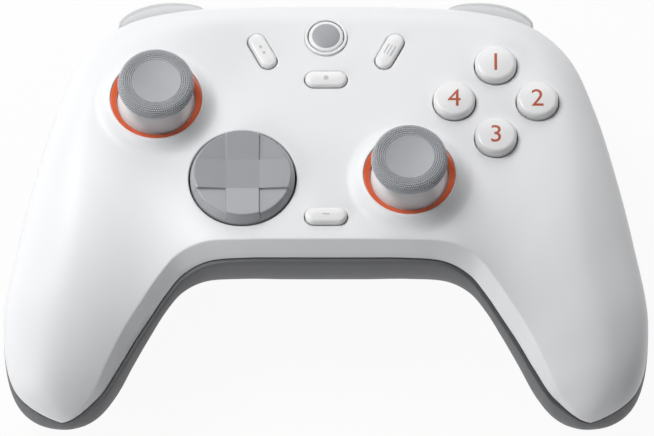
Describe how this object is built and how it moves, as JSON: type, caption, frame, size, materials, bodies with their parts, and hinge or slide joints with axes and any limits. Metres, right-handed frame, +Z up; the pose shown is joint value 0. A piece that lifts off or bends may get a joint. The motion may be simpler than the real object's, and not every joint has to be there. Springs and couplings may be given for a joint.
{
  "type": "gamepad controller",
  "caption": "Game controller with hand grips, tilting thumbsticks, a rocking direction disc, push buttons, bumpers and triggers.",
  "frame": {"origin": "middle of the footprint, on the table that the controller lies on", "axes": "+X to the right and +Y away from the player who faces the buttons, +Z up"},
  "size_m": [0.1546, 0.1086, 0.0531],
  "materials": {
    "shell_white": "fine matte",
    "shell_grey": "matte, fine grip texture",
    "ring_orange": "satin",
    "cap_rubber": "matte, knurled rim",
    "dome_pale": "polished",
    "dpad_grey": "satin",
    "button_white": "satin, orange numerals on the face buttons",
    "light_ring": "clear satin",
    "bumper_grey": "gloss",
    "trigger_grey": "satin",
    "inner_plastic": "moulded",
    "pale_plastic": "moulded",
    "black_plastic": "moulded",
    "silicone": "matte",
    "circuit_green": "solder mask",
    "steel": "plain",
    "cell_foil": "foil"
  },
  "bodies": {
    "case": {"front_shell": "shell_white", "rear_shell": "shell_grey", "left_stick_ring": "ring_orange", "right_stick_ring": "ring_orange", "left_stick_module": "inner_plastic", "right_stick_module": "inner_plastic", "dpad_post": "pale_plastic", "dpad_pad": "silicone", "face_button_pad": "silicone", "home_light_ring": "light_ring", "button_switches": "black_plastic", "button_board": "circuit_green", "main_board": "circuit_green", "board_link": "black_plastic", "bumper_switches": "black_plastic", "left_trigger_spring": "steel", "right_trigger_spring": "steel", "trigger_pins": "steel", "trigger_sensors": "black_plastic", "inner_frame": "inner_plastic", "battery_cell": "cell_foil", "left_motor": "steel", "right_motor": "steel", "usb_port": "steel", "case_screws": "steel", "board_screws": "steel"},
    "left_stick_arm": {"left_stick_arm": "pale_plastic"},
    "left_stick_pin": {"left_stick_pin": "steel"},
    "left_stick_top": {"left_stick_cap": "cap_rubber", "left_stick_dome": "dome_pale"},
    "left_stick_arch": {"left_stick_arch": "pale_plastic"},
    "right_stick_arm": {"right_stick_arm": "pale_plastic"},
    "right_stick_pin": {"right_stick_pin": "steel"},
    "right_stick_top": {"right_stick_cap": "cap_rubber", "right_stick_dome": "dome_pale"},
    "right_stick_arch": {"right_stick_arch": "pale_plastic"},
    "dpad_cup": {"dpad_pivot": "pale_plastic"},
    "dpad": {"dpad_disc": "dpad_grey"},
    "face_button_top": {"face_button_top": "button_white"},
    "face_button_left": {"face_button_left": "button_white"},
    "face_button_right": {"face_button_right": "button_white"},
    "face_button_bottom": {"face_button_bottom": "button_white"},
    "home_button": {"home_button": "button_white"},
    "view_button": {"view_button": "button_white"},
    "menu_button": {"menu_button": "button_white"},
    "capture_button": {"capture_button": "button_white"},
    "mode_button": {"mode_button": "button_white"},
    "left_bumper": {"left_bumper": "bumper_grey"},
    "left_trigger": {"left_trigger": "trigger_grey", "left_trigger_carrier": "trigger_grey", "left_trigger_magnet": "steel"},
    "left_motor_weight": {"left_motor_weight": "steel"},
    "right_bumper": {"right_bumper": "bumper_grey"},
    "right_trigger": {"right_trigger": "trigger_grey", "right_trigger_carrier": "trigger_grey", "right_trigger_magnet": "steel"},
    "right_motor_weight": {"right_motor_weight": "steel"}
  },
  "joints": [
    {"name": "left_stick_tilt_sideways", "type": "hinge", "parent": "case", "child": "left_stick_arm", "pos_m": [-0.0408, 0.01954, 0.02912], "axis": [0, 0.9914, -0.1305], "range_deg": [-17, 17], "stiffness_Nm_per_rad": 0.03},
    {"name": "left_stick_tilt_forward", "type": "hinge", "parent": "left_stick_arm", "child": "left_stick_pin", "pos_m": [-0.0408, 0.01954, 0.02912], "axis": [1, 0, 0], "range_deg": [-17, 17], "stiffness_Nm_per_rad": 0.03},
    {"name": "left_stick_press", "type": "slide", "parent": "left_stick_pin", "child": "left_stick_top", "axis": [0, -0.1305, -0.9914], "range_m": [0, 0.0005], "stiffness_N_per_m": 4000, "springref_m": -0.0005},
    {"name": "left_stick_arch_turn", "type": "hinge", "parent": "case", "child": "left_stick_arch", "pos_m": [-0.0408, 0.01954, 0.02912], "axis": [1, 0, 0], "range_deg": [-17, 17]},
    {"name": "right_stick_tilt_sideways", "type": "hinge", "parent": "case", "child": "right_stick_arm", "pos_m": [0.02, -0.00128, 0.03186], "axis": [0, 0.9914, -0.1305], "range_deg": [-17, 17], "stiffness_Nm_per_rad": 0.03},
    {"name": "right_stick_tilt_forward", "type": "hinge", "parent": "right_stick_arm", "child": "right_stick_pin", "pos_m": [0.02, -0.00128, 0.03186], "axis": [1, 0, 0], "range_deg": [-17, 17], "stiffness_Nm_per_rad": 0.03},
    {"name": "right_stick_press", "type": "slide", "parent": "right_stick_pin", "child": "right_stick_top", "axis": [0, -0.1305, -0.9914], "range_m": [0, 0.0005], "stiffness_N_per_m": 4000, "springref_m": -0.0005},
    {"name": "right_stick_arch_turn", "type": "hinge", "parent": "case", "child": "right_stick_arch", "pos_m": [0.02, -0.00128, 0.03186], "axis": [1, 0, 0], "range_deg": [-17, 17]},
    {"name": "dpad_rock_up_down", "type": "hinge", "parent": "case", "child": "dpad_cup", "pos_m": [-0.02, -0.00024, 0.03979], "axis": [1, 0, 0], "range_deg": [-4, 4], "stiffness_Nm_per_rad": 0.1},
    {"name": "dpad_rock_left_right", "type": "hinge", "parent": "dpad_cup", "child": "dpad", "pos_m": [-0.02, -0.00024, 0.03979], "axis": [0, 0.9914, -0.1305], "range_deg": [-4, 4], "stiffness_Nm_per_rad": 0.1},
    {"name": "face_button_top_press", "type": "slide", "parent": "case", "child": "face_button_top", "axis": [0, -0.1305, -0.9914], "range_m": [0, 0.0013], "stiffness_N_per_m": 400, "springref_m": -0.001},
    {"name": "face_button_left_press", "type": "slide", "parent": "case", "child": "face_button_left", "axis": [0, -0.1305, -0.9914], "range_m": [0, 0.0013], "stiffness_N_per_m": 400, "springref_m": -0.001},
    {"name": "face_button_right_press", "type": "slide", "parent": "case", "child": "face_button_right", "axis": [0, -0.1305, -0.9914], "range_m": [0, 0.0013], "stiffness_N_per_m": 400, "springref_m": -0.001},
    {"name": "face_button_bottom_press", "type": "slide", "parent": "case", "child": "face_button_bottom", "axis": [0, -0.1305, -0.9914], "range_m": [0, 0.0013], "stiffness_N_per_m": 400, "springref_m": -0.001},
    {"name": "home_button_press", "type": "slide", "parent": "case", "child": "home_button", "axis": [0, -0.1305, -0.9914], "range_m": [0, 0.0006], "stiffness_N_per_m": 1500, "springref_m": -0.0005},
    {"name": "view_button_press", "type": "slide", "parent": "case", "child": "view_button", "axis": [0, -0.1305, -0.9914], "range_m": [0, 0.0006], "stiffness_N_per_m": 1500, "springref_m": -0.0005},
    {"name": "menu_button_press", "type": "slide", "parent": "case", "child": "menu_button", "axis": [0, -0.1305, -0.9914], "range_m": [0, 0.0006], "stiffness_N_per_m": 1500, "springref_m": -0.0005},
    {"name": "capture_button_press", "type": "slide", "parent": "case", "child": "capture_button", "axis": [0, -0.1305, -0.9914], "range_m": [0, 0.0006], "stiffness_N_per_m": 1500, "springref_m": -0.0005},
    {"name": "mode_button_press", "type": "slide", "parent": "case", "child": "mode_button", "axis": [0, -0.1305, -0.9914], "range_m": [0, 0.0006], "stiffness_N_per_m": 1500, "springref_m": -0.0005},
    {"name": "left_bumper_press", "type": "hinge", "parent": "case", "child": "left_bumper", "pos_m": [-0.0265, 0.04145, 0.02775], "axis": [0, 0.1305, 0.9914], "range_deg": [0, 2.4], "stiffness_Nm_per_rad": 0.3, "springref_deg": -1.72},
    {"name": "left_trigger_pull", "type": "hinge", "parent": "case", "child": "left_trigger", "pos_m": [-0.0395, 0.03594, 0.02343], "axis": [-1, 0, 0], "range_deg": [0, 16], "stiffness_Nm_per_rad": 0.03, "springref_deg": -11.46, "deforming": ["left_trigger_spring"]},
    {"name": "left_motor_weight_spin", "type": "hinge", "parent": "case", "child": "left_motor_weight", "pos_m": [-0.0527, -0.01957, 0.02015], "axis": [1, 0, 0], "continuous": true},
    {"name": "right_bumper_press", "type": "hinge", "parent": "case", "child": "right_bumper", "pos_m": [0.0265, 0.04145, 0.02775], "axis": [0, -0.1305, -0.9914], "range_deg": [0, 2.4], "stiffness_Nm_per_rad": 0.3, "springref_deg": -1.72},
    {"name": "right_trigger_pull", "type": "hinge", "parent": "case", "child": "right_trigger", "pos_m": [0.0395, 0.03594, 0.02343], "axis": [-1, 0, 0], "range_deg": [0, 16], "stiffness_Nm_per_rad": 0.03, "springref_deg": -11.46, "deforming": ["right_trigger_spring"]},
    {"name": "right_motor_weight_spin", "type": "hinge", "parent": "case", "child": "right_motor_weight", "pos_m": [0.0527, -0.01957, 0.02015], "axis": [1, 0, 0], "continuous": true}
  ],
  "couplings": [
    {"joint": "left_stick_arch_turn", "follows": "left_stick_tilt_forward", "ratio": 1},
    {"joint": "right_stick_arch_turn", "follows": "right_stick_tilt_forward", "ratio": 1}
  ]
}
